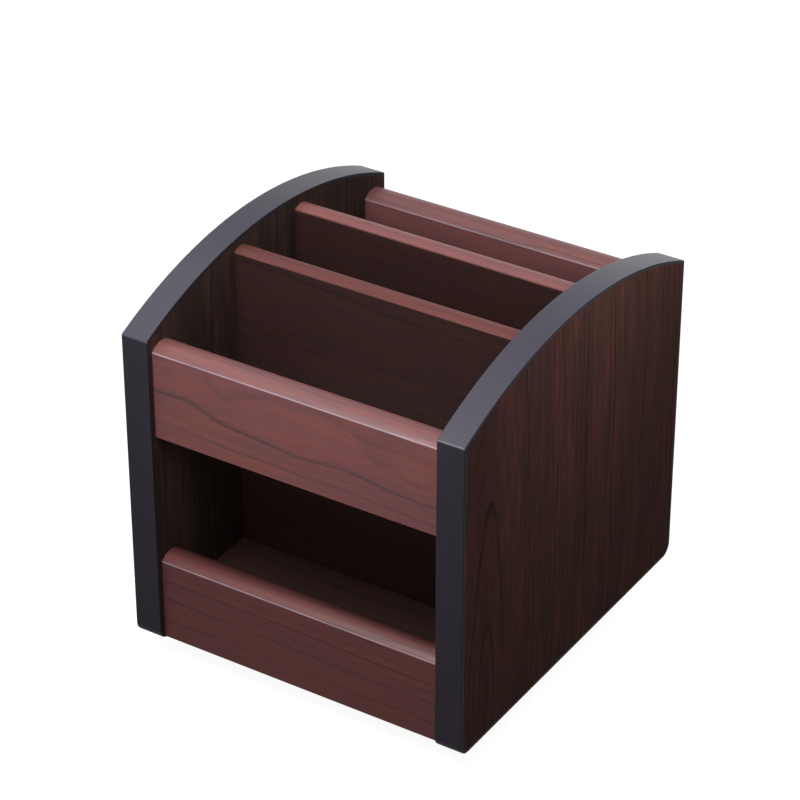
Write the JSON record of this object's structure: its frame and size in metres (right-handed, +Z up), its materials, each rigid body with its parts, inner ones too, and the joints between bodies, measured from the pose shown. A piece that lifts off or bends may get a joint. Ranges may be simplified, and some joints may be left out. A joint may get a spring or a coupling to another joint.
{
  "type": "rotating desk organizer",
  "caption": "Wooden desk organizer with arched side panels, open front and rear windows and divided pockets, turning on a ball-bearing base.",
  "frame": {"origin": "on the desk under the middle of the organizer, at the bottom of the rubber feet", "axes": "+Z up along the turning axis; +X across the side panels to the viewer's right; -Y is the front, with the open window"},
  "size_m": [0.115, 0.125, 0.1265],
  "materials": {
    "side_veneer": "dark red-brown veneer, satin lacquer",
    "rail_wood": "red-brown wood, satin lacquer",
    "edging": "charcoal satin",
    "dowel_wood": "bare",
    "base_wood": "dark lacquer",
    "plate_steel": "zinc plated",
    "fixing_steel": "zinc plated",
    "ball_steel": "polished",
    "cage_plastic": "natural nylon",
    "rubber_feet": "matte"
  },
  "bodies": {
    "base": {"base_disc": "base_wood", "rubber_feet": "rubber_feet", "lower_bearing_plate": "plate_steel", "lower_plate_screws": "fixing_steel", "centre_rivet": "fixing_steel"},
    "ball_race": {"ball_cage": "cage_plastic", "bearing_balls": "ball_steel"},
    "organizer": {"left_side_panel": "side_veneer", "right_side_panel": "side_veneer", "left_edging": "edging", "right_edging": "edging", "front_upper_rail": "rail_wood", "front_lower_rail": "rail_wood", "rear_upper_rail": "rail_wood", "rear_lower_rail": "rail_wood", "front_divider": "rail_wood", "rear_divider": "rail_wood", "floor_board": "rail_wood", "rail_dowels": "dowel_wood", "divider_dowels": "dowel_wood", "floor_dowels": "dowel_wood", "upper_bearing_plate": "plate_steel", "upper_plate_screws": "fixing_steel"}
  },
  "joints": [
    {"name": "spin", "type": "hinge", "parent": "base", "child": "organizer", "pos_m": [0, 0, 0.0114], "axis": [0, 0, 1], "continuous": true},
    {"name": "race_spin", "type": "hinge", "parent": "base", "child": "ball_race", "pos_m": [0, 0, 0.0114], "axis": [0, 0, 1], "continuous": true}
  ],
  "couplings": [
    {"joint": "race_spin", "follows": "spin", "ratio": 0.5}
  ]
}
